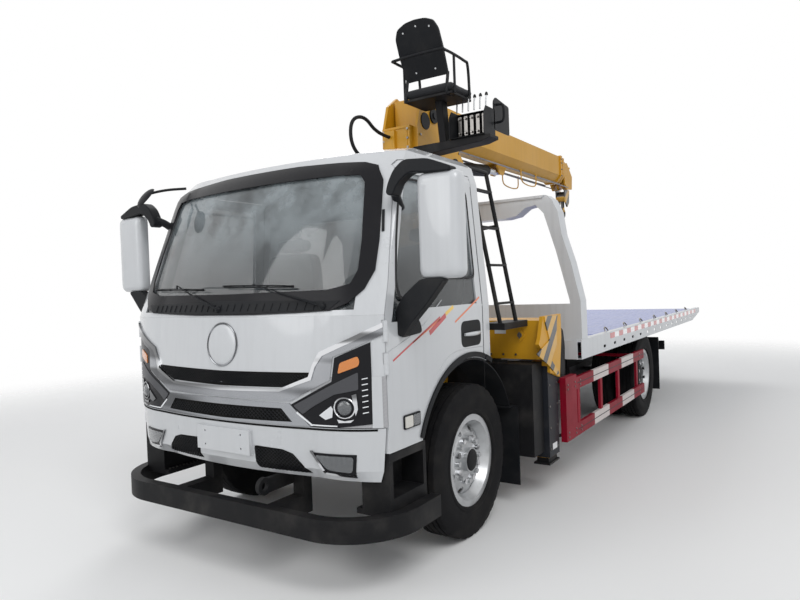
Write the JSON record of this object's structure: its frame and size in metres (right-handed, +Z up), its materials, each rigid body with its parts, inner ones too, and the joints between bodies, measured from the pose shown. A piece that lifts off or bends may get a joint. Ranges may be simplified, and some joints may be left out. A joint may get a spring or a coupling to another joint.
{
  "type": "tow truck",
  "caption": "Cab-over tow truck with a rear-facing telescopic crane, striped outriggers, a sliding and tilting flat bed with a portal headframe and a rear wheel lift.",
  "frame": {"origin": "middle of the truck's length and width, at road level under the tyres", "axes": "+X towards the cab's front, +Y to the driver's left, +Z up"},
  "size_m": [8.6, 2.85, 3.605],
  "materials": {
    "cab_white": "gloss cab paint",
    "bed_white": "satin paint",
    "crane_yellow": "gloss crane paint",
    "guard_red_white": "red and white bands",
    "chassis_black": "satin chassis paint",
    "trim_black": "grained moulding",
    "lamp": "dark lens",
    "chrome": "bright trim",
    "glass": "tinted pane",
    "rubber": "tyre rubber",
    "wheel_silver": "silver wheel paint",
    "cast_iron": "bare casting",
    "engine_grey": "engine paint",
    "seat_cloth": "woven seats over a moulded dashboard",
    "deck_film": "painted deck under lavender film",
    "steel": "ground rod",
    "mirror_shell": "white shells on black arms",
    "hose": "hydraulic hose"
  },
  "bodies": {
    "truck": {"chassis_frame": "chassis_black", "engine_block": "engine_grey", "front_axle": "cast_iron", "rear_axle": "cast_iron", "side_tanks": "chassis_black", "mudguards": "trim_black", "side_guards": "guard_red_white", "front_bumper": "cab_white", "underrun_bar": "chassis_black", "tow_eye": "chassis_black", "cab_floor": "chassis_black", "cab_roof": "cab_white", "cab_back_panel": "cab_white", "cab_front_panel": "cab_white", "cab_glass": "glass", "cab_interior": "seat_cloth", "grille_trim": "chrome", "headlamps": "lamp", "crane_base": "crane_yellow", "access_ladder": "chassis_black"},
    "door_left": {"door_left": "cab_white", "door_glass_left": "glass", "mirror_left": "mirror_shell"},
    "door_right": {"door_right": "cab_white", "door_glass_right": "glass", "mirror_right": "mirror_shell"},
    "steering_wheel": {"steering_wheel": "trim_black"},
    "knuckle_left": {"knuckle_left": "cast_iron"},
    "knuckle_right": {"knuckle_right": "cast_iron"},
    "wheel_front_left": {"tyre_front_left": "rubber", "rim_front_left": "wheel_silver"},
    "wheel_front_right": {"tyre_front_right": "rubber", "rim_front_right": "wheel_silver"},
    "wheels_rear_left": {"tyres_rear_left": "rubber", "rims_rear_left": "wheel_silver"},
    "wheels_rear_right": {"tyres_rear_right": "rubber", "rims_rear_right": "wheel_silver"},
    "crane_turret": {"crane_turret": "crane_yellow", "operator_station": "chassis_black", "crane_hoses": "hose"},
    "boom_base": {"boom_base": "crane_yellow"},
    "boom_mid": {"boom_mid": "crane_yellow"},
    "boom_tip": {"boom_tip": "crane_yellow", "hook_block": "crane_yellow"},
    "luff_barrel": {"luff_barrel": "chassis_black"},
    "luff_rod": {"luff_rod": "steel"},
    "outrigger_beam_left": {"outrigger_beam_left": "crane_yellow"},
    "outrigger_beam_right": {"outrigger_beam_right": "crane_yellow"},
    "outrigger_jack_left": {"outrigger_jack_left": "chassis_black"},
    "outrigger_jack_right": {"outrigger_jack_right": "chassis_black"},
    "bed_tilt_frame": {"bed_tilt_frame": "chassis_black"},
    "bed_lift_barrels": {"bed_lift_barrels": "chassis_black"},
    "bed_lift_rods": {"bed_lift_rods": "steel"},
    "bed": {"bed_deck": "deck_film", "bed_rails": "bed_white", "bed_gantry": "bed_white", "bed_winch": "chassis_black"},
    "wheel_lift_arm": {"wheel_lift_arm": "chassis_black"},
    "wheel_lift_bar": {"wheel_lift_bar": "chassis_black"}
  },
  "joints": [
    {"name": "steer_left", "type": "hinge", "parent": "truck", "child": "knuckle_left", "pos_m": [3.1, 0.78, 0.487], "axis": [0, 0, 1], "range_deg": [-35, 35]},
    {"name": "steer_right", "type": "hinge", "parent": "truck", "child": "knuckle_right", "pos_m": [3.1, -0.78, 0.487], "axis": [0, 0, 1], "range_deg": [-35, 35]},
    {"name": "steering_wheel_turn", "type": "hinge", "parent": "truck", "child": "steering_wheel", "pos_m": [3.6, 0.63, 1.5], "axis": [-0.837, 0, 0.5472], "range_deg": [-630, 630]},
    {"name": "wheel_front_left_spin", "type": "hinge", "parent": "knuckle_left", "child": "wheel_front_left", "pos_m": [3.1, 0.92, 0.487], "axis": [0, 1, 0], "continuous": true},
    {"name": "wheel_front_right_spin", "type": "hinge", "parent": "knuckle_right", "child": "wheel_front_right", "pos_m": [3.1, -0.92, 0.487], "axis": [0, 1, 0], "continuous": true},
    {"name": "wheels_rear_left_spin", "type": "hinge", "parent": "truck", "child": "wheels_rear_left", "pos_m": [-1.1, 0.9, 0.487], "axis": [0, 1, 0], "continuous": true},
    {"name": "wheels_rear_right_spin", "type": "hinge", "parent": "truck", "child": "wheels_rear_right", "pos_m": [-1.1, -0.9, 0.487], "axis": [0, 1, 0], "continuous": true},
    {"name": "door_left_open", "type": "hinge", "parent": "truck", "child": "door_left", "pos_m": [4.03, 1.03, 1.3], "axis": [0, 0, -1], "range_deg": [0, 68]},
    {"name": "door_right_open", "type": "hinge", "parent": "truck", "child": "door_right", "pos_m": [4.03, -1.03, 1.3], "axis": [0, 0, 1], "range_deg": [0, 68]},
    {"name": "crane_slew", "type": "hinge", "parent": "truck", "child": "crane_turret", "pos_m": [2.2, 0, 2.49], "axis": [0, 0, 1], "continuous": true},
    {"name": "boom_luff", "type": "hinge", "parent": "crane_turret", "child": "boom_base", "pos_m": [1.98, 0, 3.05], "axis": [0, 1, 0], "range_deg": [0, 75]},
    {"name": "boom_extend", "type": "slide", "parent": "boom_base", "child": "boom_mid", "axis": [-1, 0, 0], "range_m": [0, 2.6]},
    {"name": "boom_tip_extend", "type": "slide", "parent": "boom_mid", "child": "boom_tip", "axis": [-1, 0, 0], "range_m": [0, 2.6]},
    {"name": "luff_barrel_swing", "type": "hinge", "parent": "crane_turret", "child": "luff_barrel", "pos_m": [1.62, 0, 2.69], "axis": [0, 1, 0], "range_deg": [0, 75.55]},
    {"name": "luff_rod_slide", "type": "slide", "parent": "luff_barrel", "child": "luff_rod", "axis": [-0.9948, 0, 0.1018], "range_m": [0, 0.61979]},
    {"name": "outrigger_left_out", "type": "slide", "parent": "truck", "child": "outrigger_beam_left", "axis": [0, 1, 0], "range_m": [0, 0.8]},
    {"name": "outrigger_right_out", "type": "slide", "parent": "truck", "child": "outrigger_beam_right", "axis": [0, -1, 0], "range_m": [0, 0.8]},
    {"name": "jack_left_down", "type": "slide", "parent": "outrigger_beam_left", "child": "outrigger_jack_left", "axis": [0, 0, -1], "range_m": [0, 0.3]},
    {"name": "jack_right_down", "type": "slide", "parent": "outrigger_beam_right", "child": "outrigger_jack_right", "axis": [0, 0, -1], "range_m": [0, 0.3]},
    {"name": "bed_tilt", "type": "hinge", "parent": "truck", "child": "bed_tilt_frame", "pos_m": [-2.3, 0, 0.8], "axis": [0, -1, 0], "range_deg": [0, 11.51]},
    {"name": "bed_slide", "type": "slide", "parent": "bed_tilt_frame", "child": "bed", "axis": [-1, 0, 0], "range_m": [0, 3]},
    {"name": "bed_lift_swing", "type": "hinge", "parent": "truck", "child": "bed_lift_barrels", "pos_m": [-0.65, 0, 0.7], "axis": [0, -1, 0], "range_deg": [0, 25.3]},
    {"name": "bed_lift_slide", "type": "slide", "parent": "bed_lift_barrels", "child": "bed_lift_rods", "axis": [0.9852, 0, 0.1713], "range_m": [0, 0.14624]},
    {"name": "wheel_lift_tilt", "type": "hinge", "parent": "truck", "child": "wheel_lift_arm", "pos_m": [-2.1, 0, 0.32], "axis": [0, 1, 0], "range_deg": [-6, 5]},
    {"name": "wheel_lift_extend", "type": "slide", "parent": "wheel_lift_arm", "child": "wheel_lift_bar", "axis": [-1, 0, 0], "range_m": [0, 0.5]}
  ],
  "couplings": [
    {"joint": "steer_right", "follows": "steer_left", "ratio": 1},
    {"joint": "steering_wheel_turn", "follows": "steer_left", "ratio": 18},
    {"joint": "boom_tip_extend", "follows": "boom_extend", "ratio": 1},
    {"joint": "luff_barrel_swing", "follows": "boom_luff", "ratio": 1.0072},
    {"joint": "luff_rod_slide", "follows": "boom_luff", "m_per_rad": 0.47341},
    {"joint": "bed_tilt", "follows": "bed_slide", "rad_per_m": 0.066904},
    {"joint": "bed_lift_swing", "follows": "bed_slide", "rad_per_m": 0.14712},
    {"joint": "bed_lift_slide", "follows": "bed_slide", "ratio": 0.048714}
  ]
}
